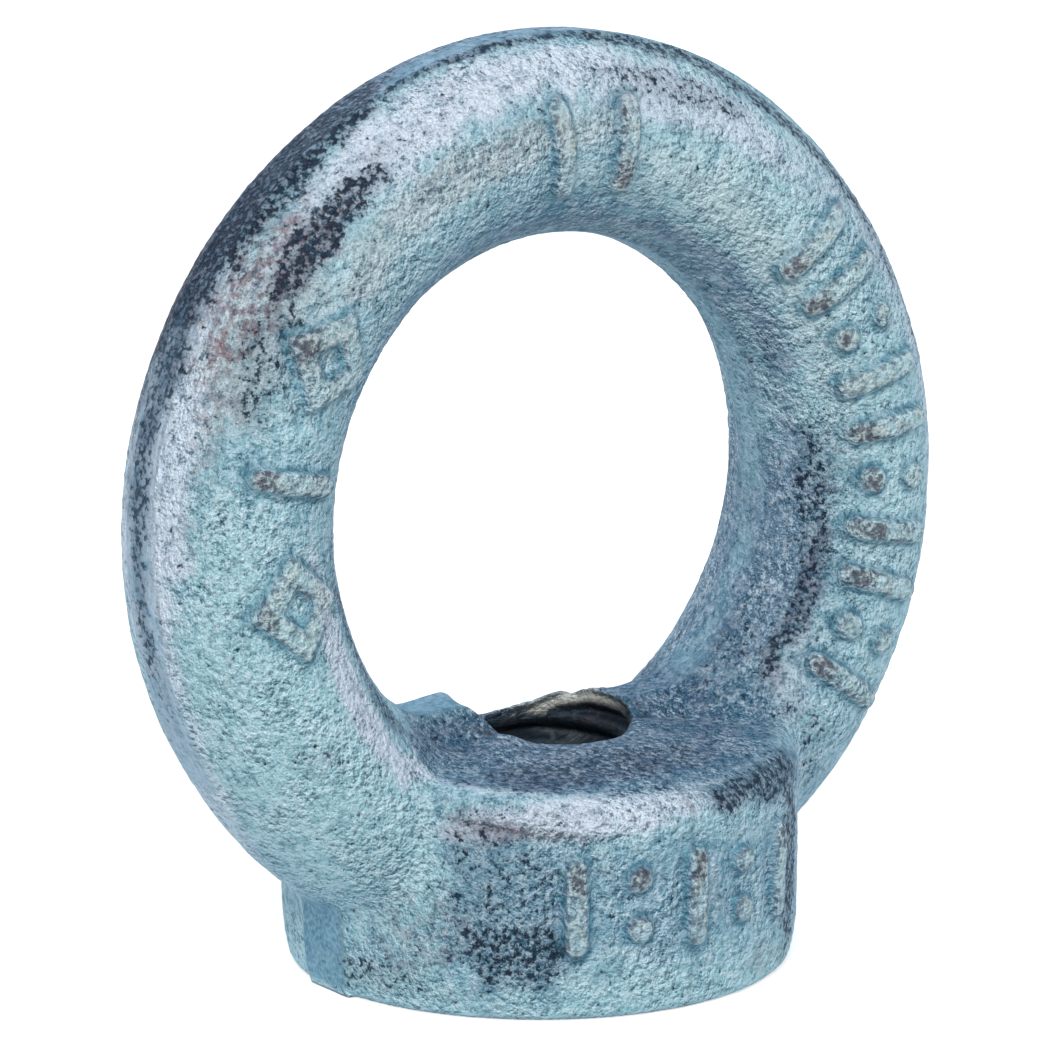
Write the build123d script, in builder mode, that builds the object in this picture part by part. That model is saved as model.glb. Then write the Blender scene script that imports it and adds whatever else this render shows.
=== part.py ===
"""Lifting eye nut: an upright ring forged in one piece with a round boss, which is tapped right
through so that the nut screws onto a stud or a bolt.

Millimetres. The origin is the centre of the seat face, +Z is the axis of the thread, and the ring
stands in the XZ plane, so the eye is open along Y. The forging dies part on that plane, and the
trimming of the flash leaves a narrow band all along it.
"""

import os
from math import asin, cos, degrees, radians, sin, sqrt

from build123d import *

# Ring: diameters over the trimmed band, the rise of its full circle above the seat, and the
# width of the bar along Y at three places
RING_DIAMETER = 45.0
EYE_DIAMETER = 25.7
RING_RISE = 0.3
CROWN_WIDTH = 9.25
SIDE_WIDTH = 10.9
FOOT_WIDTH = 13.0

# Boss: eased in to the seat, and rounded over to the floor, which fills the foot of the eye and
# falls away to the front and, further, to the back
BOSS_DIAMETER = 25.2
SEAT_DIAMETER = 24.4
EASE_HEIGHT = 3.0
SEAT_EDGE_RADIUS = 0.5
SHOULDER_RADIUS = 1.5
FLOOR_RISE = 1.35
FLOOR_FALL_FRONT = 1.1
FLOOR_FALL_BACK = 2.9

# Blend round the foot of each limb of the ring
LIMB_BLEND_RADIUS = 2.0

# Web that crosses the floor from limb to limb
WEB_RISE = 1.7
WEB_TAPER = 45.0
WEB_CORNER_RADIUS = 2.0

# Band along the parting line: it stands a little proud of the forged skin, and widens to a flat
# pad on each side of the boss
BAND_WIDTH = 2.4
BAND_HEIGHT = 0.1
PAD_WIDTH = 3.4

# Bore for an M10 thread, countersunk at the seat and relieved at the floor
BORE_DIAMETER = 8.5
COUNTERSINK_DIAMETER = 10.8
RELIEF_DIAMETER = 10.4
RELIEF_DEPTH = 1.2

# Raised marks on the front: plain bars, pairs of pips and lozenges
MARK_HEIGHT = 0.35
MARK_STROKE = 1.1
MARK_LENGTH = 4.8
LOZENGE_WIDTH = 5.2
MARK_CENTRE_RADIUS = 17.5
BOSS_MARK_HEIGHT = 5.6

ring_radius = RING_DIAMETER / 2
eye_radius = EYE_DIAMETER / 2
boss_radius = BOSS_DIAMETER / 2
bore_radius = BORE_DIAMETER / 2
ring_centre_height = RING_RISE + ring_radius
floor_height = ring_centre_height - eye_radius + FLOOR_RISE
web_height = floor_height + WEB_RISE
band_half = BAND_WIDTH / 2
bar_centre_radius = (ring_radius + eye_radius) / 2
bar_depth = ring_radius - eye_radius - 2 * BAND_HEIGHT

# The floor is round across the eye: its circle passes through the floor's height on the axis and
# through both falls at the boss's edge, so its centre lies below and a little to the front
falls = FLOOR_FALL_FRONT + FLOOR_FALL_BACK
crown_drop = (2 * boss_radius**2 + FLOOR_FALL_FRONT**2 + FLOOR_FALL_BACK**2) / (2 * falls)
crown_lead = (FLOOR_FALL_BACK - FLOOR_FALL_FRONT) * (2 * crown_drop - falls) / (4 * boss_radius)


def oval(width, depth):
    """An ellipse of four quarter curves, which start at the same place in every section."""
    with BuildSketch() as section:
        with BuildLine():
            for across, up in ((1, 1), (-1, 1), (-1, -1), (1, -1)):
                Bezier(
                    (across * width / 2, 0),
                    (across * width / 2, up * depth / 2),
                    (0, up * depth / 2),
                    weights=(1, sqrt(0.5), 1),
                )
        make_face()
    return section.sketch


def chord(radius, height):
    """Half the width, at a height above the seat, of a circle about the centre of the eye."""
    return sqrt(radius**2 - (ring_centre_height - height) ** 2)


# Ring: an oval section swept round the eye, which widens from the crown to the foot. Both ends
# stop inside the boss, over the wall of the bore.
end_angle = 180 - degrees(asin(bore_radius / bar_centre_radius))


def swept_ring(proud):
    """The ring, with its skin raised by a height."""
    with BuildPart() as ring:
        centre_plane = Plane((0, 0, ring_centre_height), x_dir=(1, 0, 0), z_dir=(0, -1, 0))
        with BuildLine(centre_plane) as bar_line:
            CenterArc((0, 0), bar_centre_radius, 90 + end_angle, -2 * end_angle)
        bar_path = bar_line.wires()[0]
        stations = (
            (-end_angle, FOOT_WIDTH),
            (-90, SIDE_WIDTH),
            (0, CROWN_WIDTH),
            (90, SIDE_WIDTH),
            (end_angle, FOOT_WIDTH),
        )
        for angle, width in stations:
            along = (angle + end_angle) / (2 * end_angle)
            across = Plane(bar_path @ along, x_dir=(0, 1, 0), z_dir=bar_path % along)
            with BuildSketch(across):
                add(oval(width + 2 * proud, bar_depth + 2 * proud))
        sweep(multisection=True)
        split(bisect_by=Plane.XY.offset(SEAT_EDGE_RADIUS), keep=Keep.TOP)
    return ring.part


def boss_profile(radius, seat_radius, top):
    """Half the section of a boss that is eased in to its seat."""
    with BuildSketch() as profile:
        with BuildLine():
            wall_foot = (radius, EASE_HEIGHT)
            seat_rim = (seat_radius, 0)
            Polyline(wall_foot, (radius, top), (0, top), (0, 0), seat_rim)
            TangentArc(wall_foot, seat_rim, tangent=(0, -1))
        make_face()
    return profile.sketch


# Outline of the eye on the parting plane: round, but flat along the top of the web
with BuildSketch(Plane.XZ) as eye_outline:
    with Locations((0, ring_centre_height)):
        Circle(eye_radius)
    with Locations((0, web_height)):
        Rectangle(EYE_DIAMETER, EYE_DIAMETER, align=(Align.CENTER, Align.MAX), mode=Mode.SUBTRACT)
    fillet(eye_outline.vertices(), WEB_CORNER_RADIUS)

# Web: a block with its ends in the limbs, hollowed by the eye, which flares past the band
with BuildPart() as web:
    web_top = web_height + WEB_CORNER_RADIUS / 2
    web_bottom = floor_height - WEB_RISE / 2
    web_half_length = chord(eye_radius + 2 * BAND_HEIGHT, web_top)
    web_half_width = band_half + WEB_RISE + BAND_HEIGHT
    with BuildSketch(Plane.XZ):
        with Locations((0, web_bottom)):
            Rectangle(2 * web_half_length, web_top - web_bottom, align=(Align.CENTER, Align.MIN))
    extrude(amount=web_half_width, both=True)
    with BuildSketch(Plane.XZ):
        add(eye_outline.sketch)
    extrude(amount=band_half, both=True, mode=Mode.SUBTRACT)
    for side in (1, -1):
        with BuildSketch(Plane.XZ.offset(side * band_half)):
            add(eye_outline.sketch)
        extrude(amount=side * (web_half_width - band_half), taper=-WEB_TAPER, mode=Mode.SUBTRACT)

# Band: the silhouette of the whole forging on the parting plane, with the eye cut out. It turns
# from the ring into the flat pad of the boss in a corner.
pad_profile = boss_profile(
    boss_radius + BAND_HEIGHT, SEAT_DIAMETER / 2 + BAND_HEIGHT, floor_height - WEB_RISE
)
with BuildPart() as band:
    with BuildSketch(Plane.XZ) as silhouette:
        with Locations((0, ring_centre_height)):
            Circle(ring_radius)
        add(pad_profile)
        mirror(pad_profile, about=Plane.YZ)
        add(eye_outline.sketch, mode=Mode.SUBTRACT)
    extrude(amount=band_half, both=True)
    with BuildSketch(Plane.XZ):
        add(pad_profile)
        mirror(pad_profile, about=Plane.YZ)
    extrude(amount=PAD_WIDTH / 2, both=True)


def bar_mark():
    with BuildSketch() as mark:
        SlotOverall(MARK_LENGTH, MARK_STROKE, rotation=90)
    return mark.sketch


def pips_mark():
    with BuildSketch() as mark:
        with Locations((0, MARK_LENGTH / 4), (0, -MARK_LENGTH / 4)):
            Circle(MARK_STROKE * 0.6)
    return mark.sketch


def lozenge_mark():
    half_width, half_length = LOZENGE_WIDTH / 2, MARK_LENGTH / 2
    with BuildSketch() as mark:
        with BuildLine():
            Polyline(
                (half_width, 0), (0, half_length), (-half_width, 0), (0, -half_length), close=True
            )
        make_face()
        offset(amount=-MARK_STROKE, mode=Mode.SUBTRACT)
    return mark.sketch


# Raised marks on the ring, each at its angle from the crown, and as much of each as lies under
# the raised skin of the ring
bars, pips, lozenge = bar_mark(), pips_mark(), lozenge_mark()
ring_marks = [(-60, lozenge), (-79, bars), (-98, lozenge), (-6, bars), (6, bars)]
ring_marks += [(48 + 8.6 * step, pips if step % 3 == 2 else bars) for step in range(10)]
with BuildPart() as marks:
    with BuildSketch(Plane.XZ):
        for angle, mark in ring_marks:
            turn = radians(angle)
            across = MARK_CENTRE_RADIUS * sin(turn)
            up = ring_centre_height + MARK_CENTRE_RADIUS * cos(turn)
            with Locations(Location((across, up), -angle)):
                add(mark)
    extrude(amount=FOOT_WIDTH)
    add(swept_ring(MARK_HEIGHT), mode=Mode.INTERSECT)

with BuildPart() as eye_nut:
    # Boss, its floor crowned across the eye
    with BuildSketch(Plane.XZ):
        add(boss_profile(boss_radius, SEAT_DIAMETER / 2, floor_height + WEB_RISE))
    revolve(axis=Axis.Z)
    fillet(eye_nut.edges().filter_by(GeomType.CIRCLE).sort_by(Axis.Z)[0], SEAT_EDGE_RADIUS)
    with BuildSketch(Plane.YZ):
        Rectangle(2 * BOSS_DIAMETER, BOSS_DIAMETER + floor_height, align=(Align.CENTER, Align.MIN))
        with Locations((-crown_lead, floor_height - crown_drop)):
            Circle(sqrt(crown_drop**2 + crown_lead**2), mode=Mode.SUBTRACT)
    extrude(amount=BOSS_DIAMETER, both=True, mode=Mode.SUBTRACT)
    fillet(eye_nut.edges(Select.NEW), SHOULDER_RADIUS)

    # Limbs of the ring, blended into the boss
    add(swept_ring(0))
    fillet(eye_nut.edges(Select.NEW), LIMB_BLEND_RADIUS)
    add(web.part)
    add(band.part)
    add(marks.part)

    # Marks round the front of the boss
    for angle, mark in ((-27, bars), (-13, pips), (1, bars), (15, pips), (29, bars)):
        turn = radians(angle)
        facing = Plane(
            ((boss_radius - 1) * sin(turn), -(boss_radius - 1) * cos(turn), BOSS_MARK_HEIGHT),
            x_dir=(cos(turn), sin(turn), 0),
            z_dir=(sin(turn), -cos(turn), 0),
        )
        with BuildSketch(facing):
            add(mark)
        extrude(amount=1 + MARK_HEIGHT)

    # Seat, faced flat
    split(bisect_by=Plane.XY, keep=Keep.TOP)

    # Bore
    with BuildSketch(Plane.XZ):
        with BuildLine():
            countersink_depth = COUNTERSINK_DIAMETER / 2 - bore_radius
            relief_foot = floor_height - RELIEF_DEPTH
            relief_rim = relief_foot + RELIEF_DIAMETER / 2 - bore_radius
            Polyline(
                (0, 0),
                (COUNTERSINK_DIAMETER / 2, 0),
                (bore_radius, countersink_depth),
                (bore_radius, relief_foot),
                (RELIEF_DIAMETER / 2, relief_rim),
                (RELIEF_DIAMETER / 2, web_top),
                (0, web_top),
                close=True,
            )
        make_face()
    revolve(axis=Axis.Z, mode=Mode.SUBTRACT)

os.makedirs("parts", exist_ok=True)
eye_nut.part.label = "eye_nut"
export_step(eye_nut.part, "parts/eye_nut.step")
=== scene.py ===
import math

import bmesh
import bpy
import numpy as np
from mathutils import Matrix, Vector


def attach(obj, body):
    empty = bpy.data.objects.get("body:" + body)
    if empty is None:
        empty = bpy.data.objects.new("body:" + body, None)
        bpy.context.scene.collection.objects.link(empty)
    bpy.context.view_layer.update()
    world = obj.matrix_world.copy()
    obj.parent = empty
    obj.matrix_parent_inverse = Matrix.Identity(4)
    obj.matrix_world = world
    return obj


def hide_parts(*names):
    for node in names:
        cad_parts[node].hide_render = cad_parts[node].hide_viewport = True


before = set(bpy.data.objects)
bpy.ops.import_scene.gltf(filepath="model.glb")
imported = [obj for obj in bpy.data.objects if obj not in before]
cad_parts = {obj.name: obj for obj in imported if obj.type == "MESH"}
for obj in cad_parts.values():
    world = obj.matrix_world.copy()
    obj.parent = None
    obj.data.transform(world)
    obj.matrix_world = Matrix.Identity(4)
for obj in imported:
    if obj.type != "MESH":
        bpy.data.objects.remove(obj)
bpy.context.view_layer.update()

scene = bpy.context.scene
scene.view_settings.view_transform = "Standard"

# ---------------------------------------------------------------------------
# Sizes in millimetres, as in the CAD source
# ---------------------------------------------------------------------------
RING_CENTRE = 22.8      # height of the ring's centre above the seat
MID_RADIUS = 17.675     # middle of the ring's section
BAND_HALF = 1.2         # half the width of the trimmed band on the parting plane
PAD_HALF = 1.7          # half the width of the flat pads at the boss's sides
RIM_EDGE = (21.7, 22.1)     # radii on the ring over which its rim begins, and its eye
EYE_EDGE = (13.5, 13.15)
BORE_RADIUS = 4.25
THREAD_RADIUS = 5.0     # root of the M10 thread
PITCH = 1.5
RELIEF_FOOT = 10.1      # where the bore widens under the floor
RELIEF_RADIUS = 5.2

MARK_RADIUS = 17.5      # the ring's marks: middle of each, its stroke and its length
MARK_STROKE = 1.1
MARK_LENGTH = 4.8
LOZENGE_WIDTH = 5.2
BOSS_MARK_HEIGHT = 5.6

# Height of the bore's lip over the seat, by its direction in degrees from the right: it climbs
# on the ends of both webs, and further on the left one
LIP = ((-165, 12.8), (-148, 12.1), (-128, 11.6), (-100, 11.45), (-60, 11.4), (-35, 11.7),
       (-10, 12.3), (20, 12.35), (42, 12.05), (60, 11.45), (95, 10.9), (130, 11.6),
       (150, 12.6), (170, 13.2))
LIP_FOOT = 9.4          # nothing below this height follows the lip
LIP_SECTORS = 90        # directions in which the lip's height is found

# How the skin is made
WELD = 2e-6             # metres: corners of the CAD mesh nearer than this become one
VOXEL = 0.15            # grid of the working skin
RELAX_ROUNDS = 12
DENTS = 90
TRIANGLES = 194000      # what the finished skin is thinned to


def smooth(lo, hi, x):
    """0 below lo and 1 above hi, with a soft step between. lo may be the larger."""
    t = np.clip((x - lo) / (hi - lo), 0.0, 1.0)
    return t * t * (3.0 - 2.0 * t)


def lattice(p, cell):
    """Each point's cell in a grid of that size, and its place within the cell."""
    q = p / cell + 100.0
    i = np.floor(q).astype(np.int64)
    return i, q - i, q


def shuffled(perm, i, step):
    """A number for the cell that lies a step away, mixed by a permutation."""
    last = len(perm) - 1
    h = perm[(i[:, 0] + step[0]) & last]
    h = perm[(h + i[:, 1] + step[1]) & last]
    return perm[(h + i[:, 2] + step[2]) & last]


def noise(p, cell, seed):
    """Gradient noise, about -1 to 1, at points in millimetres."""
    rng = np.random.default_rng(seed)
    perm = rng.permutation(256)
    grads = rng.normal(size=(256, 3))
    grads /= np.linalg.norm(grads, axis=1)[:, None]
    i, f, _ = lattice(p, cell)
    w = f * f * f * (f * (f * 6.0 - 15.0) + 10.0)
    out = np.zeros(len(p))
    for step in np.ndindex(2, 2, 2):
        d = (grads[shuffled(perm, i, step)] * (f - step)).sum(1)
        k = [w[:, axis] if step[axis] else 1 - w[:, axis] for axis in range(3)]
        out += d * (k[0] * k[1]) * k[2]
    return out * 1.6


def pebbles(p, cell, seed):
    """Rounded grains: 1 at the heart of each and 0 in the gaps between them."""
    rng = np.random.default_rng(seed)
    perm = rng.permutation(512)
    jitter = rng.random((512, 3))
    i, _, q = lattice(p, cell)
    best = np.full(len(p), 9.0)
    second = np.full(len(p), 9.0)
    for number in np.ndindex(3, 3, 3):
        step = (number[0] - 1, number[1] - 1, number[2] - 1)
        d = ((i + step + jitter[shuffled(perm, i, step)] - q) ** 2).sum(1)
        second = np.minimum(second, np.maximum(best, d))
        best = np.minimum(best, d)
    return np.clip((np.sqrt(second) - np.sqrt(best)) * 1.6, 0.0, 1.0)


def direction(p):
    """Degrees round the bore: 0 at the right, 90 at the back."""
    return np.degrees(np.arctan2(p[:, 1], p[:, 0]))


def lip_height(p):
    """Height of the bore's lip in each point's direction."""
    return np.interp(direction(p), [a for a, _ in LIP], [h for _, h in LIP], period=360)


def thread_rise(p):
    """Height above the thread's helix."""
    return p[:, 2] - PITCH * np.arctan2(p[:, 1], p[:, 0]) / (2 * math.pi)


# ---------------------------------------------------------------------------
# Raised marks of the CAD: bars, pairs of pips and lozenges
# ---------------------------------------------------------------------------
RING_MARKS = [(-60, "lozenge"), (-79, "bar"), (-98, "lozenge"), (-6, "bar"), (6, "bar")]
RING_MARKS += [(48 + 8.6 * k, "pips" if k % 3 == 2 else "bar") for k in range(10)]
BOSS_MARKS = [(-27, "bar"), (-13, "pips"), (1, "bar"), (15, "pips"), (29, "bar")]
FAR = 9.0               # distance that stands for no mark near


def outline(kind, x, y):
    """Distance to a mark's edge, negative inside it; y runs along the mark."""
    half = MARK_STROKE / 2
    if kind == "bar":
        return np.hypot(x, np.maximum(np.abs(y) - MARK_LENGTH / 2 + half, 0)) - half
    if kind == "pips":
        return np.hypot(x, np.abs(y) - MARK_LENGTH / 4) - 1.2 * half
    w, h = LOZENGE_WIDTH / 2, MARK_LENGTH / 2
    rim = (np.abs(x) * h + np.abs(y) * w - w * h) / math.hypot(w, h)
    return np.abs(rim + half) - half


def marks(p):
    """Distance to the nearest mark's edge, and a spot near one end of each mark."""
    x, y, z = p.T
    edge = np.full(len(p), FAR)
    spot = np.zeros(len(p))
    front = (y < -1.0) & (np.hypot(x, z - RING_CENTRE) > EYE_EDGE[0]) & (z > 9.0)
    wall = (y < 0) & (np.hypot(x, y) > 11.5) & (z < 10.0)
    places = [(a, k, front) for a, k in RING_MARKS] + [(a, k, wall) for a, k in BOSS_MARKS]
    for number, (angle, kind, where) in enumerate(places):
        a = math.radians(angle)
        on_ring = where is front
        if on_ring:
            out = x * math.sin(a) + (z - RING_CENTRE) * math.cos(a)
            across = x * math.cos(a) - (z - RING_CENTRE) * math.sin(a)
            up = out - MARK_RADIUS
            where = where & (out > 0)
        else:
            across = x * math.cos(a) + y * math.sin(a)
            up = z - BOSS_MARK_HEIGHT
        near = where & (np.abs(across) < 4) & (np.abs(up) < 4)
        edge[near] = np.minimum(edge[near], outline(kind, across[near], up[near]))
        end = -1.6 if on_ring and angle >= -30 else 1.7
        end += 0.3 * math.sin(7.0 * number)
        aside = 0.15 * math.cos(5.0 * number)
        away = np.hypot(across[near] - aside, (up[near] - end) / 1.4)
        spot[near] = np.maximum(spot[near], smooth(0.85, 0.35, away) * (number % 5 != 3))
    return edge, spot


# ---------------------------------------------------------------------------
# Where a point lies
# ---------------------------------------------------------------------------
class Place:
    """Positions of points in the terms that the finish and the forging follow."""

    def __init__(self, p, n, lip=None):
        self.x, self.y, self.z = x, y, z = p.T
        self.rho = np.hypot(x, y)
        self.r = np.hypot(x, z - RING_CENTRE)
        # u goes round the ring from the crown; v goes round its section, from 0 at the rim by
        # 90 at a face to 180 at the eye; phi goes round the boss from the front. On the back
        # u is turned, so that the patches of the two faces differ and still join at the bands.
        self.angle = np.arctan2(x, z - RING_CENTRE)
        self.v = np.degrees(np.arctan2(np.abs(y), self.r - MID_RADIUS))
        self.back = y > 0
        turn = 60 * self.back * smooth(38, 88, self.v) * smooth(142, 96, self.v)
        self.u = (np.degrees(self.angle) + turn + 180) % 360 - 180
        self.phi = np.degrees(np.arctan2(x, -y))

        # The bore reaches up to its lip, and until that is shaped, to where the metal turns level
        bore = smooth(5.5, 5.3, self.rho)
        if lip is None:
            bore = bore * smooth(11.5, 11.1, z)
            bore = bore * smooth(0.6, 0.3, np.abs(n[:, 2]) * (z > 10.5))
        else:
            bore = bore * smooth(lip - 0.05, lip - 0.35, z)
        seat = smooth(0.12, 0.03, z) * smooth(-0.6, -0.9, n[:, 2])
        self.machined = np.clip(np.maximum(bore, seat), 0, 1)

        # The trimmed band is faint at the rim and in the eye's right half, and plain in its left
        # half and on the pads
        aside = np.abs(y)
        rim = 0.55 * smooth(*RIM_EDGE, self.r)
        eye = smooth(*EYE_EDGE, self.r) * (0.9 - 0.6 * smooth(0.0, 5.0, x))
        edge = BAND_HALF + 0.12 * noise(p, 2.0, 41)
        band = smooth(edge + 0.12, edge - 0.12, aside) * np.maximum(rim, eye) * (z > 11.0)
        edge = PAD_HALF + 0.15 * noise(p, 1.6, 42)
        pad = smooth(edge + 0.15, edge - 0.15, aside) * smooth(12.2, 12.4, np.abs(x))
        band = np.maximum(band, pad * smooth(4.9, 4.3, z) * smooth(0.2, 0.6, z))
        self.band = np.clip(band, 0, 1) * (1 - self.machined)

        self.floor = smooth(13.7, 12.5, z) * smooth(11.9, 11.1, self.rho) * (z > 9.0)
        self.boss = smooth(13.15, 12.8, self.rho) * smooth(11.6, 11.0, z) * (1 - self.floor)
        self.ring = (1 - self.floor) * (1 - self.boss)
        self.forged = (1 - self.machined) * (1 - self.band)

    def groove_line(self):
        """Height of the shallow groove on the boss's front left."""
        return 9.05 + 0.028 * (-self.phi - 30)


# ---------------------------------------------------------------------------
# The forging: a skin grown on the CAD solid, with its soft edges, lumps, grain and thread
# ---------------------------------------------------------------------------
def read(items, what, size=3):
    """A value of every vertex or face, one row each."""
    out = np.empty(len(items) * size, np.float32)
    items.foreach_get(what, out)
    return out.reshape(-1, size).astype(np.float64)


def put(mesh, p):
    """Moves the mesh's vertices to the points."""
    mesh.vertices.foreach_set("co", p.astype(np.float32).ravel())
    mesh.update()


def apply_modifier(obj, kind, **settings):
    """Gives the object the mesh that a modifier makes of its own."""
    m = obj.modifiers.new(kind.lower(), kind)
    for k, v in settings.items():
        setattr(m, k, v)
    dg = bpy.context.evaluated_depsgraph_get()
    made = bpy.data.meshes.new_from_object(obj.evaluated_get(dg), depsgraph=dg)
    obj.modifiers.clear()
    old = obj.data
    obj.data = made
    bpy.data.meshes.remove(old)


def grow_skin(node):
    """A closed skin of even points on a CAD node, in millimetres."""
    bm = bmesh.new()
    bm.from_mesh(node.data)
    bmesh.ops.remove_doubles(bm, verts=bm.verts, dist=WELD)
    bmesh.ops.scale(bm, vec=(1000, 1000, 1000), verts=bm.verts)
    mesh = bpy.data.meshes.new("forging")
    bm.to_mesh(mesh)
    bm.free()
    obj = bpy.data.objects.new("forging", mesh)
    scene.collection.objects.link(obj)
    bpy.context.view_layer.update()
    apply_modifier(obj, "REMESH", mode="VOXEL", voxel_size=VOXEL, use_smooth_shade=True)
    return obj


def relax(mesh, p, weight, rounds):
    """Softens the skin's edges by moving each point towards its neighbours' middle."""
    edges = np.empty(len(mesh.edges) * 2, np.int32)
    mesh.edges.foreach_get("vertices", edges)
    a, b = edges[0::2], edges[1::2]
    count = (np.bincount(a, minlength=len(p)) + np.bincount(b, minlength=len(p)))[:, None]
    for _ in range(rounds):
        total = np.stack([np.bincount(a, p[b, k], len(p)) + np.bincount(b, p[a, k], len(p))
                          for k in range(3)], 1)
        p = p + (total / count - p) * weight[:, None]
    return p


def cast_relief(p, here):
    """How far the forging's skin stands out from the CAD at each point."""
    edge, _ = marks(p)
    top = smooth(0.25, -0.25, edge)
    moat = smooth(1.0, 0.3, edge) * (1 - top)
    lift = 0.050 * noise(p, 6.0, 1) + 0.036 * noise(p, 2.4, 2) + 0.016 * noise(p, 1.1, 3)
    patchy = smooth(-0.4, 0.6, noise(p, 4.0, 5))
    lift += (0.020 + 0.030 * patchy) * (pebbles(p, 0.60, 4) - 0.4) * (1 - 0.5 * top)
    lift += 0.014 * noise(p, 0.45, 6)
    lift += (0.08 * top - 0.09 * moat) * (edge < FAR - 1)
    lift += 0.05 * top * noise(p, 1.3, 8)
    lift *= here.forged
    lift += here.band * (0.008 * noise(p, 1.4, 7) - 0.01)

    # The strip over the boss's wall has a shallow groove under it at the front left
    groove = smooth(-56, -44, here.phi) * smooth(-8, -22, here.phi) * ~here.back
    line = here.groove_line() + 0.12 * noise(p, 2.5, 9)
    lift -= 0.16 * groove * np.exp(-((here.z - line) / 0.42) ** 2) * here.boss

    # Dents and pits that forging and handling leave
    rng = np.random.default_rng(11)
    for k in rng.choice(len(p), DENTS, replace=False):
        away = np.linalg.norm(p - p[k], axis=1) / rng.uniform(0.3, 1.0)
        lift -= 0.06 * rng.uniform(0.3, 1.0) * np.exp(-2.5 * away ** 2) * here.forged
    return lift


def draw_lip_in(p, rho):
    """Draws the lip of the bore in over its relief, as hammering does. rho is each point's
    distance from the axis before the cast relief."""
    x, _, z = p.T
    drawn = np.where(rho < RELIEF_RADIUS, BORE_RADIUS + (rho - BORE_RADIUS) * 0.16,
                     rho - 0.8 * smooth(7.8, RELIEF_RADIUS, rho))
    shut = smooth(13.3, 12.2, z) * (x < 0) + smooth(14.0, 13.2, z) * (x > 0)
    shut = shut * (z > RELIEF_FOOT) * (rho > BORE_RADIUS)
    p[:, :2] *= 1 + (shut * (drawn / np.maximum(rho, 1e-6) - 1))[:, None]


def swell_floor(p):
    """Swells the floor before the hole, and raises the web on the left of it over the right."""
    x, y, z = p.T
    aside = np.abs(y)
    swell = 0.50 * np.exp(-((x + 4.0) / 2.4) ** 2 - ((y + 3.2) / 1.8) ** 2)
    swell += 0.12 * np.exp(-(x / 4.0) ** 2 - ((y + 5.5) / 1.8) ** 2)
    swell += 0.25 * smooth(-3.0, -4.8, x) * smooth(-10.5, -8.5, x) * smooth(2.4, 0.8, aside)
    dip = 0.40 * smooth(3.8, 5.2, x) * smooth(8.6, 7.2, x) * smooth(3.2, 1.2, aside)
    swell -= dip * smooth(11.9, 12.6, z)
    p[:, 2] += swell * (smooth(9.8, 10.8, z) * smooth(14.5, 13.6, z))


def raise_lip(p):
    """Brings the lip to its height, and the floor and the webs beside it follow."""
    rho, z, toward = np.hypot(p[:, 0], p[:, 1]), p[:, 2], direction(p)
    step = 360 / LIP_SECTORS
    sector = np.round((toward + 180) / step).astype(int) % LIP_SECTORS
    highest = np.full(LIP_SECTORS, 10.5)
    near = (rho > 4.2) & (rho < 4.8) & (z > 10.2) & (z < 13.4)
    np.maximum.at(highest, sector[near], z[near])
    for _ in range(3):
        highest = (np.roll(highest, 1) + 2 * highest + np.roll(highest, -1)) / 4
    found = np.interp(toward, np.arange(LIP_SECTORS) * step - 180, highest, period=360)
    share = np.clip((z - LIP_FOOT) / (found - LIP_FOOT), 0, 1)
    share = share * smooth(7.8, 4.7, rho) * (z < 13.6)
    p[:, 2] += (lip_height(p) - found) * share


def cut_thread(p):
    """Cuts the M10 thread into the wall of the bore, up to a little below its lip."""
    rho, z, lip = np.hypot(p[:, 0], p[:, 1]), p[:, 2], lip_height(p)
    t = (thread_rise(p) / PITCH) % 1.0
    groove = np.clip((0.375 - np.abs(t - 0.5)) / 0.3125, 0.0, 1.0)
    fade = smooth(0.5, 1.3, z) * smooth(lip - 0.8, lip - 1.4, z)
    depth = (THREAD_RADIUS - BORE_RADIUS - 0.03) * groove * fade
    wall = (np.abs(rho - BORE_RADIUS) < 0.2) & (z > 0.3) & (z < 13.0)
    p[:, :2] *= 1 + np.where(wall, depth / np.maximum(rho, 1e-6), 0.0)[:, None]


forging = grow_skin(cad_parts["eye_nut"])
p = read(forging.data.vertices, "co")
here = Place(p, read(forging.data.vertex_normals, "vector"))
slack = 0.5 * here.forged + 0.12 * here.band * (1 - here.machined)
p = relax(forging.data, p, slack, RELAX_ROUNDS)
put(forging.data, p)
n = read(forging.data.vertex_normals, "vector")
here = Place(p, n)
p = p + n * cast_relief(p, here)[:, None]
draw_lip_in(p, here.rho)
swell_floor(p)
raise_lip(p)
cut_thread(p)
put(forging.data, p)

faces = sum(len(f.vertices) - 2 for f in forging.data.polygons)
apply_modifier(forging, "TRIANGULATE")
apply_modifier(forging, "DECIMATE", decimate_type="COLLAPSE", ratio=TRIANGLES / faces,
               use_collapse_triangulate=True)
print("skin of", faces, "triangles, thinned to", len(forging.data.polygons))


# ---------------------------------------------------------------------------
# Tones of the plating, with painted reflections, highlights and shade, at the finished points
# ---------------------------------------------------------------------------
def srgb(r, g, b):
    """A colour as it is seen, 0 to 255, as the shader takes it."""
    return tuple(c / 12.92 if c < 0.04045 else ((c + 0.055) / 1.055) ** 2.4
                 for c in (r / 255, g / 255, b / 255))


TEAL = srgb(152, 195, 209)
CYAN = srgb(172, 216, 224)
# Lilac is the colour of the painted highlights
HIGHLIGHT_LILAC = srgb(222, 231, 246)
PALE = srgb(202, 226, 230)
TAN = srgb(192, 196, 194)
SLATE = srgb(112, 138, 165)
BLUE = srgb(92, 142, 170)
DEEP = srgb(66, 104, 132)
NAVY = srgb(14, 17, 31)
SHADE = srgb(40, 50, 74)
RUST = srgb(118, 78, 88)
BROWN = srgb(80, 62, 74)

# Floor colours: a painted dark reflection
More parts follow.
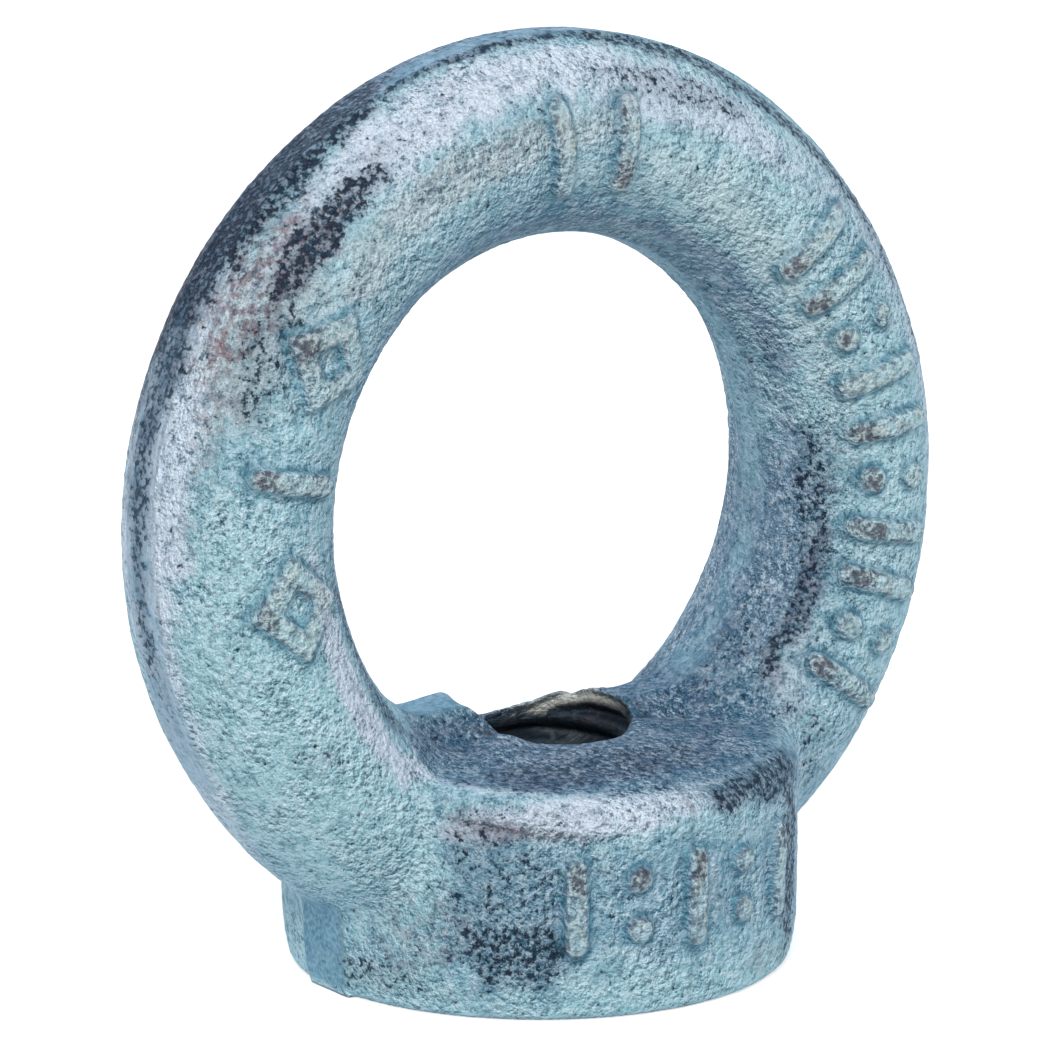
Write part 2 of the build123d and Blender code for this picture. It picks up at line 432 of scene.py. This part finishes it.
FLOOR_EDGE = srgb(70, 122, 152)
FLOOR_HEART = srgb(44, 86, 120)
FLOOR_VIOLET = srgb(36, 52, 92)
# Painted shade, sheen and highlight of the bore
BORE_SHADE = srgb(20, 29, 34)
BORE_SHEEN = srgb(108, 108, 96)
BORE_MOUTH_HIGHLIGHT = srgb(232, 232, 220)
# Painted highlight on the bore's lip
LIP_HIGHLIGHT = srgb(196, 198, 190)
SEAT_GREY = srgb(150, 172, 182)

# Tones that the shader lays over the painted ones, with painted light and shade on the sides of
# the grains
HAZE = srgb(216, 228, 238)
HAZE_BLUE = srgb(86, 136, 158)
GRAIN_LIGHT = srgb(222, 232, 240)
GRAIN_DARK = srgb(70, 108, 134)
# Painted highlight and painted shade for the two sides of the grains
GRAIN_HIGHLIGHT_COARSE = srgb(214, 234, 244)
GRAIN_HIGHLIGHT_FINE = srgb(212, 234, 244)
GRAIN_SHADE_COARSE = srgb(44, 82, 106)
GRAIN_SHADE_FINE = srgb(50, 88, 112)
GLINT = srgb(140, 66, 40)
# Painted dark reflection
DARK_REFLECTION_TINT = srgb(68, 88, 114)
SPECK = srgb(50, 74, 98)
# Colours of the dark gaps where dark reflections are painted
NIGHT_FLOOR = srgb(6, 30, 52)
NIGHT_RUST = srgb(66, 40, 48)
NIGHT_GRAIN = srgb(64, 80, 108)
# Painted shade beside the marks
MARK_FLANK_SHADE = (srgb(58, 108, 130), srgb(104, 160, 180))
MARK_TOPS = (srgb(150, 170, 176), srgb(204, 214, 210))
MARK_RIM = srgb(112, 98, 112)
BAND_TONES = (srgb(66, 112, 142), srgb(124, 168, 192))
TURNED_TONES = (srgb(126, 150, 164), srgb(170, 190, 200))
TURNED_BLUE = srgb(96, 138, 160)

# Patches on the ring: u, v, half sizes in u and v, slope of v on u, colour, strength. Most are
# painted reflections: the lilac and pale ones are painted highlights, the darker ones painted dark
# reflections and shade; the rest are tones of the plating
RING_TINTS_AND_REFLECTIONS = (
    (-118, 60, 34, 46, 0.0, CYAN, 0.85),
    (-112, 8, 24, 12, 0.25, HIGHLIGHT_LILAC, 0.55),
    (-119, 108, 27, 9, 0.0, HIGHLIGHT_LILAC, 0.95),
    (-120, 129, 30, 7, 0.0, DEEP, 0.85),
    (-76, 16, 24, 19, 0.0, HIGHLIGHT_LILAC, 0.85),
    (-58, 50, 13, 30, 0.0, TAN, 0.50),
    (-64, 85, 16, 18, 0.0, CYAN, 0.40),
    (-20, 42, 32, 20, 0.0, HIGHLIGHT_LILAC, 0.95),
    (-26, 84, 32, 15, 0.0, TAN, 0.55),
    (-35, 108, 34, 11, 0.0, TEAL, 0.60),
    (18, 62, 26, 17, 0.3, HIGHLIGHT_LILAC, 0.75),
    (30, 92, 22, 14, 0.2, CYAN, 0.60),
    (46, 110, 42, 20, 0.1, PALE, 0.80),
    (80, 92, 40, 26, 0.0, CYAN, 0.60),
    (72, 48, 36, 14, 0.0, HIGHLIGHT_LILAC, 0.40),
    (-30, 136, 44, 14, 0.0, BLUE, 0.85),
    (-30, 152, 60, 12, 0.0, DEEP, 0.70),
    (42, 146, 30, 10, 0.0, SLATE, 0.75),
    (40, 164, 30, 7, 0.0, DEEP, 0.60),
    (112, 152, 34, 26, 0.0, SLATE, 0.90),
    (132, 168, 16, 22, 0.0, DEEP, 0.55),
    (136, 118, 12, 14, 0.0, HIGHLIGHT_LILAC, 0.50),
    (-22, 8, 26, 9, 0.0, SLATE, 0.70),
    (-44, 0, 32, 13, 0.0, SHADE, 0.85),
    (-48, -18, 32, 24, 0.0, SHADE, 0.90),
    (8, -20, 34, 18, 0.0, SLATE, 0.60),
    (-84, 0, 18, 8, 0.0, SLATE, 0.60),
    (30, 2, 40, 12, 0.0, BLUE, 0.50),
)
# Patches on the boss: phi, z, half sizes, slope of z on phi, colour, strength. The lilac ones are
# painted highlights on the shoulder, the deep and slate ones painted dark reflections; the rest
# are tones of the plating
BOSS_TINTS_AND_REFLECTIONS = (
    (-78, 8.0, 26, 4.2, 0.0, CYAN, 0.90),
    (0, 1.0, 300, 1.1, 0.0, CYAN, 0.80),
    (-42, 5.5, 16, 4.4, 0.0, BLUE, 0.60),
    (0, 5.6, 34, 2.4, 0.0, BLUE, 0.45),
    (-24, 9.9, 33, 0.9, 0.012, HIGHLIGHT_LILAC, 1.00),
    (30, 10.3, 24, 1.2, -0.01, DEEP, 0.80),
    (60, 6.0, 25, 5.0, 0.0, SLATE, 0.45),
    (140, 9.9, 32, 0.9, 0.0, HIGHLIGHT_LILAC, 0.80),
    (-145, 5.0, 20, 4.0, 0.0, BLUE, 0.50),
    (115, 7.0, 20, 4.0, 0.0, CYAN, 0.70),
)
# Where dark reflections are painted, speckled dark, and where the plating has a rust-red cast: the
# same terms without a colour
RING_DARK_REFLECTIONS = (
    (-42, 4, 21, 21, 0.0, 1.00),
    (-84, 1, 26, 8, 0.0, 0.70),
    (-46, -18, 26, 22, 0.0, 1.00),
    (0, -16, 30, 14, 0.0, 0.60),
    (-70, 5, 14, 8, 0.3, 0.70),
    (-45, 51, 13, 12, 0.0, 0.95),
    (-62, 62, 8, 18, 0.0, 0.45),
    (-20, 14, 26, 3, 0.0, 0.80),
    (28, 29, 32, 11, 0.60, 0.80),
    (62, 44, 16, 6, 0.2, 0.50),
    (14, 52, 12, 9, 0.3, 0.50),
    (113, 130, 30, 6, 0.0, 0.70),
    (92, 138, 14, 9, 0.0, 0.55),
    (-120, 131, 26, 5, 0.0, 0.50),
    (140, 98, 7, 22, 0.0, 0.45),
    (-146, 96, 5, 12, 0.0, 0.60),
    (100, 12, 40, 6, 0.0, 0.45),
)
BOSS_DARK_REFLECTIONS = (
    (-40, 3.4, 13, 1.7, 0.0, 0.75),
    (-44, 6.4, 13, 3.4, 0.0, 0.42),
    (38, 5.5, 7, 5.0, 0.0, 0.85),
    (28, 9.9, 18, 0.9, 0.0, 0.80),
    (-70, 1.6, 16, 0.9, 0.0, 0.40),
    (-84, 4.8, 14, 0.5, 0.02, 0.45),
    (152, 4.0, 13, 2.2, 0.0, 0.85),
    (-128, 7.2, 12, 2.0, 0.0, 0.60),
    (-150, 9.9, 20, 0.8, 0.0, 0.70),
)
RING_RUSTS = (
    (-58, 36, 11, 20, 0.0, 0.90),
    (-49, 52, 10, 11, 0.0, 0.60),
    (-74, 40, 12, 10, 0.0, 0.35),
    (116, 128, 26, 7, 0.0, 0.35),
    (-25, 80, 14, 8, 0.0, 0.25),
)
BOSS_RUSTS = (
    (-62, 4.0, 12, 2.0, 0.0, 0.35),
    (-45, 9.0, 9, 0.5, 0.0, 0.40),
    (25, 1.6, 9, 0.8, 0.0, 0.30),
)

p = read(forging.data.vertices, "co")
here = Place(p, read(forging.data.vertex_normals, "vector"), lip_height(p))
edge, spot = marks(p)
drift_a, drift_b = noise(p, 3.4, 51), noise(p, 3.4, 52)
ragged = 0.30 * noise(p, 1.5, 53) + 0.22 * noise(p, 0.7, 54)


def cover(a, b, patch, wander):
    """How much of a patch lies at each point, with a ragged edge."""
    a0, b0, da, db, slope = patch[:5]
    a = a + 3.5 * drift_a
    b = b + wander * drift_b
    q = np.hypot((a - a0) / da, (b - b0 - slope * (a - a0)) / db)
    return smooth(1.35, 0.65, q + ragged)


def ring_cover(patch):
    """A ring patch with v below 0 runs on over the rim to the back."""
    v = here.v if patch[1] >= 0 else np.where(here.back, -here.v, here.v)
    return cover(here.u, v, patch, 4.0)


def boss_cover(patch):
    """A boss patch lies by the angle from the front and the height."""
    return cover(here.phi, here.z, patch, 0.25)


def gather(ring_patches, boss_patches):
    """The strongest cover at each point among patches that have no colour."""
    on_ring, on_boss = np.zeros(len(p)), np.zeros(len(p))
    for patch in ring_patches:
        on_ring = np.maximum(on_ring, patch[5] * ring_cover(patch))
    for patch in boss_patches:
        on_boss = np.maximum(on_boss, patch[5] * boss_cover(patch))
    return on_ring * here.ring + on_boss * here.boss


def plain_tint(colour):
    """One colour at every point."""
    return np.tile(np.asarray(colour), (len(p), 1))


def blend(base, colour, share):
    """The base turned towards a colour by each point's share."""
    return base + (np.asarray(colour) - base) * share[:, None]


tint = plain_tint(TEAL)
tint = blend(tint, CYAN, smooth(-0.1, 0.8, noise(p, 7.0, 61)) * 0.6)
tint = blend(tint, BLUE, smooth(0.1, 0.9, noise(p, 5.0, 62)) * 0.35)
# Painted highlights and painted dark reflections, laid as patches on the ring and the boss, with
# tones of the plating
for patch in RING_TINTS_AND_REFLECTIONS:
    tint = blend(tint, patch[5], patch[6] * ring_cover(patch) * here.ring)
for patch in BOSS_TINTS_AND_REFLECTIONS:
    tint = blend(tint, patch[5], patch[6] * boss_cover(patch) * here.boss)

# The floor is deep blue, painted as a dark reflection, lighter at its edges, with a violet cast
# before the hole; its front edge carries a painted highlight of the shoulder
violet = smooth(1.2, 0.5, np.hypot((here.x + 2.5) / 6.5, (np.abs(here.y) - 7.6) / 2.2) + ragged)
shoulder_highlight = smooth(10.9, 11.6, here.rho + 0.25 * drift_b)
floor_reflection = plain_tint(FLOOR_EDGE)
floor_reflection = blend(floor_reflection, FLOOR_HEART, smooth(11.5, 8.5, here.rho + 1.2 * drift_a))
floor_reflection = blend(floor_reflection, FLOOR_VIOLET, 0.75 * violet)
floor_reflection = blend(floor_reflection, HIGHLIGHT_LILAC, shoulder_highlight * smooth(30, 5, here.phi) * 0.9)
tint = blend(tint, floor_reflection, here.floor)

# Painted dark reflections: the patches, the floor, and a few more at random
dark_reflection = gather(RING_DARK_REFLECTIONS, BOSS_DARK_REFLECTIONS)
dark_reflection = np.maximum(dark_reflection, here.floor * (0.40 * violet + 0.30))
dark_reflection = np.maximum(dark_reflection, 0.35 * smooth(0.45, 0.9, noise(p, 4.0, 63) + 0.3 * noise(p, 1.5, 64)))
rust = gather(RING_RUSTS, BOSS_RUSTS)
rust = np.maximum(rust, 0.3 * smooth(0.5, 0.9, noise(p, 3.0, 65)))

# The groove under the strip is a bare brown line
line = here.groove_line()
brown = np.exp(-((here.z - line + 0.05 * noise(p, 0.8, 66)) / 0.30) ** 2) * here.boss * ~here.back
brown = brown * smooth(-58, -52, here.phi) * smooth(-20, -32, here.phi + 6 * drift_a)
tint = blend(tint, BROWN, np.clip(brown, 0, 1) * 0.9)

# The bore: grey-green darkened by painted shade, with painted sheen along the thread and a painted
# highlight at the back right of its mouth
toward = direction(p)
turns = 2 * math.pi * thread_rise(p) / PITCH
sheen = 0.5 + 0.3 * np.sin(turns * 3 + 0.5 * noise(p, 3.0, 67)) + 0.2 * np.sin(turns * 7 + 1.0)
mouth = smooth(lip_height(p) - 0.85, lip_height(p) - 0.5, here.z)
lit = smooth(-25, 14, toward) * smooth(70, 50, toward)
wall = blend(plain_tint(BORE_SHADE), BORE_SHEEN, 0.45 * sheen ** 3)
wall = blend(wall, BORE_MOUTH_HIGHLIGHT, 0.9 * mouth * lit)
wall = blend(wall, SEAT_GREY, smooth(0.3, 0.1, here.z) * (here.rho > THREAD_RADIUS))
tint = blend(tint, wall, here.machined)

# A painted highlight on its lip over the mouth
lip_highlight = smooth(5.0, 4.6, here.rho) * smooth(5, 25, toward) * smooth(84, 66, toward)
lip_highlight = lip_highlight * (here.z > 10.5) * (here.z < 13.5) * (1 - here.machined)
tint = blend(tint, LIP_HIGHLIGHT, 0.85 * lip_highlight)

mark = smooth(0.04, -0.26, edge) * (1 - here.machined)
# Painted shade on the flanks beside each mark
flank_shade = smooth(-0.12, 0.04, edge) * smooth(0.42, 0.12, edge + 0.12 * ragged) * (1 - here.machined)


def write(name, values):
    """Stores three values a point for the shader, under a name."""
    layer = forging.data.color_attributes.new(name, "FLOAT_COLOR", "POINT")
    flat = np.ones((len(p), 4), np.float32)
    flat[:, :3] = np.stack(np.broadcast_arrays(*values), 1)
    layer.data.foreach_set("color", flat.ravel())


write("tint", tint.T)
# Painted dark reflection, rust, and painted shade beside the marks
write("tones", (dark_reflection, rust, flank_shade))
write("places", (here.band, here.machined, mark))
write("spots", (spot * mark, here.floor, 0.0))
# Metal drawn out by the die runs round the ring: far apart along it and close across it
write("flow", (here.angle * 2.0, here.r, here.y))

forging.data.transform(Matrix.Scale(0.001, 4))
# The turned seat is one true plane, so its faces are shaded flat
facing = read(forging.data.polygons, "normal")[:, 2]
height = read(forging.data.polygons, "center")[:, 2]
forging.data.polygons.foreach_set("use_smooth", (height > 0.00003) | (facing > -0.99))
forging.name = "eye_nut_forging"
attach(forging, "root")
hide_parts("eye_nut")


# ---------------------------------------------------------------------------
# Material
# ---------------------------------------------------------------------------
class Tree:
    """Short names for the nodes of a material or the world."""

    def __init__(self, owner):
        owner.use_nodes = True
        self.nodes = owner.node_tree.nodes
        self.nodes.clear()
        self.links = owner.node_tree.links

    def feed(self, socket, value):
        if isinstance(value, bpy.types.NodeSocket):
            self.links.new(value, socket)
        else:
            socket.default_value = value

    def node(self, kind, inputs=None, **props):
        made = self.nodes.new(kind)
        for k, v in props.items():
            setattr(made, k, v)
        for k, v in (inputs or {}).items():
            self.feed(made.inputs[k], v)
        return made

    def math(self, op, a, b=0.0, clamp=False):
        return self.node("ShaderNodeMath", {0: a, 1: b}, operation=op, use_clamp=clamp).outputs[0]

    def plus(self, a, b):
        return self.math("ADD", a, b)

    def minus(self, a, b):
        return self.math("SUBTRACT", a, b)

    def rest(self, a):
        """What a share leaves of 1."""
        return self.math("SUBTRACT", 1.0, a, clamp=True)

    def times(self, first, *others):
        for other in others:
            first = self.math("MULTIPLY", first, other)
        return first

    def ramp(self, value, lo, hi, out_lo=0.0, out_hi=1.0):
        made = self.node("ShaderNodeMapRange", {"Value": value, "From Min": lo, "From Max": hi,
                                                "To Min": out_lo, "To Max": out_hi},
                         interpolation_type="SMOOTHSTEP", clamp=True)
        return made.outputs["Result"]

    def mix(self, share, a, b):
        made = self.node("ShaderNodeMix", data_type="RGBA", blend_type="MIX")
        self.feed(made.inputs[0], share)
        for socket, colour in ((made.inputs[6], a), (made.inputs[7], b)):
            self.feed(socket, (*colour, 1.0) if isinstance(colour, tuple) else colour)
        return made.outputs[2]

    def coat(self, under, tone, *shares):
        """A colour covered by a tone, as far as all the shares say."""
        return self.mix(self.times(*shares), under, tone)

    def noise(self, vector, scale, detail=2.0, rough=0.5):
        return self.node("ShaderNodeTexNoise", {"Vector": vector, "Scale": scale, "Detail": detail,
                                                "Roughness": rough}).outputs["Fac"]

    def attribute(self, name):
        return self.node("ShaderNodeAttribute", attribute_name=name).outputs["Color"]

    def parts(self, name):
        return self.node("ShaderNodeSeparateColor", {"Color": self.attribute(name)}).outputs[:3]


plated = bpy.data.materials.new("zinc_plated_steel")
t = Tree(plated)
coords = t.node("ShaderNodeTexCoord").outputs["Object"]
mm = t.node("ShaderNodeMapping", {"Vector": coords, "Scale": (1000, 1000, 1000)}).outputs["Vector"]
a_dark_reflection, a_rust, a_flank_shade = t.parts("tones")
a_band, a_machined, a_mark = t.parts("places")
a_spot, a_floor, _ = t.parts("spots")


def grains(vector):
    """Noise as wide as the zinc's grains."""
    return t.noise(vector, 3.1, 2.0, 0.55)


def fines(vector):
    """Noise finer than the grains."""
    return t.noise(vector, 9.0, 2.0, 0.6)


def toward_key_lamp(step):
    """A point a step away, up and to the left of the front, towards the key lamp."""
    return t.node("ShaderNodeVectorMath", {0: mm, 1: (-0.6 * step, -0.35 * step, 0.7 * step)},
                  operation="ADD").outputs[0]


def uneven_with(base, value, strength):
    """A measure that falls as a noise rises over its middle."""
    return t.plus(base, t.times(t.minus(0.5, value), strength))


grain, fine = grains(mm), fines(mm)
soft = t.noise(mm, 1.2, 3.0, 0.6)
streak = t.noise(t.attribute("flow"), 5.0, 3.0, 0.6)
cell = t.node("ShaderNodeTexVoronoi", {"Vector": mm, "Scale": 3.3}, feature="F1")
cell = cell.outputs["Distance"]
# Slopes of the grains towards the key lamp, for painted light and shade
grain_lamp_slope = t.minus(grain, grains(toward_key_lamp(0.10)))
fine_lamp_slope = t.minus(fine, fines(toward_key_lamp(0.05)))

plain = t.rest(a_machined)
rugged = t.rest(t.math("MAXIMUM", a_band, a_machined))
# Share of the painted light and shade on the grains
grain_shading_share = t.times(t.ramp(t.noise(mm, 0.35, 2.0, 0.6), 0.36, 0.62, 0.35, 1.0), rugged)

# Mottling, wide and by grains
colour = t.attribute("tint")
colour = t.coat(colour, HAZE, t.ramp(soft, 0.44, 0.64, 0.0, 0.26), plain)
colour = t.coat(colour, HAZE_BLUE, t.ramp(soft, 0.50, 0.36, 0.0, 0.35), plain)
colour = t.coat(colour, GRAIN_LIGHT, t.ramp(grain, 0.54, 0.72, 0.0, 0.30), rugged)
colour = t.coat(colour, GRAIN_DARK, t.ramp(grain, 0.45, 0.30, 0.0, 0.35), rugged)
# Painted highlight on the side of each grain that faces the key lamp
colour = t.coat(colour, GRAIN_HIGHLIGHT_COARSE, t.ramp(grain_lamp_slope, 0.01, 0.13, 0.0, 0.55), grain_shading_share)
colour = t.coat(colour, GRAIN_HIGHLIGHT_FINE, t.ramp(fine_lamp_slope, 0.01, 0.16, 0.0, 0.50), grain_shading_share)
# Rust-red cast with a few orange glints
cast = t.times(a_rust, t.ramp(t.noise(mm, 1.7, 3.0, 0.6), 0.36, 0.62))
colour = t.coat(colour, RUST, cast, 0.75)
colour = t.coat(colour, GLINT, cast, t.ramp(fine, 0.58, 0.68))
# Painted dark reflection darkens these patches all over
colour = t.coat(colour, DARK_REFLECTION_TINT, a_dark_reflection, 0.55)
# Fine dark specks everywhere
specks = t.plus(fine, t.times(t.minus(soft, 0.5), 0.60))
colour = t.coat(colour, SPECK, t.ramp(specks, 0.38, 0.26, 0.0, 0.55), rugged)
# Where dark reflections are painted, light grains with dark gaps
gaps = uneven_with(uneven_with(cell, grain, 1.5), fine, 1.1)
gaps = t.plus(gaps, t.times(a_dark_reflection, 0.72))
gap_dark_reflection = t.mix(a_floor, NAVY, NIGHT_FLOOR)
gap_dark_reflection = t.coat(gap_dark_reflection, NIGHT_RUST, a_rust, t.ramp(grain, 0.38, 0.58, 0.0, 0.8))
gap_dark_reflection = t.coat(gap_dark_reflection, NIGHT_GRAIN, t.ramp(fine, 0.48, 0.66, 0.0, 0.45))
colour = t.coat(colour, gap_dark_reflection, t.ramp(gaps, 0.84, 1.34, 0.0, 0.95), plain)
# Marks: painted teal shade on the flanks beside them, pale tops with a mauve edge, and a brown
# spot near one end
flank_shade_tone = t.mix(t.ramp(streak, 0.40, 0.60), *MARK_FLANK_SHADE)
colour = t.coat(colour, flank_shade_tone, a_flank_shade, t.ramp(soft, 0.62, 0.40, 0.35, 0.80))
tops = t.mix(t.ramp(grain, 0.38, 0.60), *MARK_TOPS)
colour = t.coat(colour, tops, a_mark, t.ramp(soft, 0.60, 0.42, 0.20, 0.62))
rims = t.times(a_mark, t.minus(1.0, a_mark), 4.0)
colour = t.coat(colour, MARK_RIM, rims, t.ramp(grain, 0.56, 0.44, 0.0, 0.55))
spots = t.times(a_spot, t.ramp(grain, 0.36, 0.64, 1.25, 0.55), t.ramp(fine, 0.34, 0.66, 1.2, 0.8))
colour = t.coat(colour, BROWN, t.ramp(spots, 0.20, 1.05, 0.0, 0.72))
# Painted shade on the other side of each grain, away from the key lamp
colour = t.coat(colour, GRAIN_SHADE_COARSE, t.ramp(grain_lamp_slope, -0.01, -0.14, 0.0, 0.55), grain_shading_share)
colour = t.coat(colour, GRAIN_SHADE_FINE, t.ramp(fine_lamp_slope, -0.02, -0.17, 0.0, 0.45), grain_shading_share)
# Trimmed bands: smooth, drawn along the ring
drawn = t.mix(t.ramp(streak, 0.36, 0.64), *BAND_TONES)
colour = t.coat(colour, drawn, a_band, t.rest(a_dark_reflection), 0.75)
# The seat: turned in fine rings round the bore
at = t.node("ShaderNodeSeparateXYZ", {"Vector": mm}).outputs
rho = t.math("SQRT", t.plus(t.times(at["X"], at["X"]), t.times(at["Y"], at["Y"])))
turned = t.times(t.ramp(at["Z"], 0.12, 0.05), t.ramp(rho, 5.02, 5.08))
rings = t.noise(t.node("ShaderNodeCombineXYZ", {"X": rho}).outputs[0], 7.0, 3.0, 0.7)
turning = t.mix(t.ramp(rings, 0.35, 0.65), *TURNED_TONES)
turning = t.coat(turning, TURNED_BLUE, t.ramp(soft, 0.60, 0.42, 0.0, 0.4))
colour = t.coat(colour, turning, turned)

rough = t.plus(t.ramp(grain, 0.3, 0.7, 0.62, 0.48), t.times(a_mark, 0.08))
rough = t.minus(rough, t.times(a_dark_reflection, 0.08))

relief = t.minus(t.plus(grain, t.times(fine, 0.35)), t.times(cell, a_dark_reflection, 0.30))
relief = t.plus(t.times(relief, rugged), t.times(streak, 0.35))
relief = t.plus(relief, t.times(turned, rings, 0.25))
bump = t.node("ShaderNodeBump", {"Height": relief, "Distance": 0.00035, "Strength": 1.0})
shader = t.node("ShaderNodeBsdfPrincipled", {
    "Base Color": colour, "Roughness": rough, "Metallic": 0.6, "Specular IOR Level": 0.3,
    "Specular Tint": (0.62, 0.80, 1.0, 1.0), "Normal": bump.outputs["Normal"]})
t.node("ShaderNodeOutputMaterial", {"Surface": shader.outputs["BSDF"]})
forging.data.materials.clear()
forging.data.materials.append(plated)


# ---------------------------------------------------------------------------
# Floor, world, lamps and camera
# ---------------------------------------------------------------------------
WHITE = (1, 1, 1, 1)
PAPER = (0.86, 0.86, 0.86, 1)
FLOOR_HALF = 6.0
FLOOR_DROP = 0.00002    # keeps the floor clear of the seat
FLOOR_SEEN = 0.62       # the floor's glow for the camera, and as the metal mirrors it
FLOOR_MIRRORED = 0.35
LAMP_TARGET = (0, 0, 0.022)
ROOM_LIGHT = 0.33       # the world's strength as a light; 1 is the white that is seen


def shown(tree):
    """Two shares of a surface: seen by the camera, and seen in metal or through glass."""
    path = tree.node("ShaderNodeLightPath").outputs
    mirrored = tree.math("MAXIMUM", path["Is Glossy Ray"], path["Is Transmission Ray"])
    return path["Is Camera Ray"], mirrored


corners = [(x * FLOOR_HALF, y * FLOOR_HALF, 0) for x, y in ((-1, -1), (1, -1), (1, 1), (-1, 1))]
floor_mesh = bpy.data.meshes.new("floor")
floor_mesh.from_pydata(corners, [], [(0, 1, 2, 3)])
floor = bpy.data.objects.new("floor", floor_mesh)
floor.location.z = -FLOOR_DROP
scene.collection.objects.link(floor)
paper = bpy.data.materials.new("floor_paper")
f = Tree(paper)
seen, mirrored = shown(f)
glow = f.plus(f.times(seen, FLOOR_SEEN), f.times(mirrored, FLOOR_MIRRORED))
matt = f.node("ShaderNodeBsdfDiffuse", {"Color": PAPER}).outputs[0]
light = f.node("ShaderNodeEmission", {"Color": WHITE, "Strength": glow}).outputs[0]
both = f.node("ShaderNodeAddShader", {0: matt, 1: light}).outputs[0]
f.node("ShaderNodeOutputMaterial", {"Surface": both})
floor_mesh.materials.append(paper)

world = bpy.data.worlds.new("studio")
scene.world = world
w = Tree(world)
seen, mirrored = shown(w)
strength = w.ramp(w.math("MAXIMUM", seen, mirrored), 0.0, 1.0, ROOM_LIGHT, 1.0)
sky = w.node("ShaderNodeBackground", {"Color": WHITE, "Strength": strength})
w.node("ShaderNodeOutputWorld", {"Surface": sky.outputs[0]})


def aim(obj, place, target):
    """Puts a lamp or the camera at a place and points it at the target."""
    obj.location = place
    obj.rotation_euler = (Vector(target) - Vector(place)).to_track_quat("-Z", "Y").to_euler()
    scene.collection.objects.link(obj)


def lamp(name, place, size, power):
    """A round lamp turned to the ring's middle."""
    data = bpy.data.lights.new(name, "AREA")
    data.shape = "DISK"
    data.size = size
    data.energy = power
    aim(bpy.data.objects.new(name, data), place, LAMP_TARGET)


lamp("key", (-0.28, -0.30, 0.34), 0.20, 1.40)
lamp("fill", (0.42, -0.22, 0.20), 0.22, 0.35)
lamp("back", (0.10, 0.42, 0.38), 0.22, 0.5)

lens = bpy.data.cameras.new("camera")
lens.lens = 184.3
lens.sensor_width = 36.0
lens.clip_start, lens.clip_end = 0.01, 50.0
camera = bpy.data.objects.new("camera", lens)
aim(camera, (-0.14564, -0.20837, 0.07447), (-0.00084, 0.0, 0.02137))
scene.camera = camera
